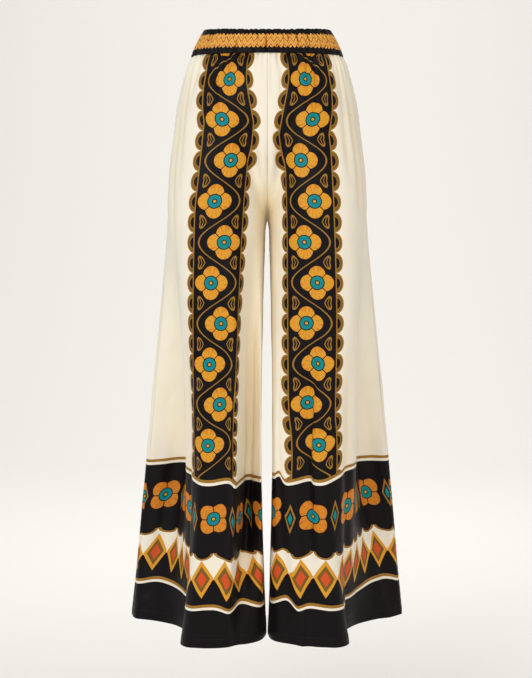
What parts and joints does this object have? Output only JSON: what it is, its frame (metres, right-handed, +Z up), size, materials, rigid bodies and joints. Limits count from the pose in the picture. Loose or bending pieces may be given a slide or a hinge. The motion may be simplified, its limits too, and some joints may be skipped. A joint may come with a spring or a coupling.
{
  "type": "palazzo pants",
  "caption": "Wide-legged, floor-length palazzo pants of printed silk in their worn shape, with a gathered elastic waistband, soft vertical folds and open flared hems",
  "frame": {"origin": "middle of the waist opening, at half the height of the waistband's sides, where the wearer's waist holds the garment up", "axes": "+Z up along the wearer's body, +X towards the wearer's left side, -Y the way the wearer faces"},
  "size_m": [0.5175, 0.3581, 1.0822],
  "materials": {
    "leg_silk": "silk twill with a soft sheen, cream with near-black printed bands in marigold, bronze and teal",
    "waistband_silk": "silk twill with a soft sheen, near-black with a narrow printed strip in orange and ochre, ruched over elastic"
  },
  "bodies": {
    "root": {"front_left_leg": "leg_silk", "back_left_leg": "leg_silk", "front_right_leg": "leg_silk", "back_right_leg": "leg_silk", "waistband_front": "waistband_silk", "waistband_back": "waistband_silk"}
  },
  "joints": []
}
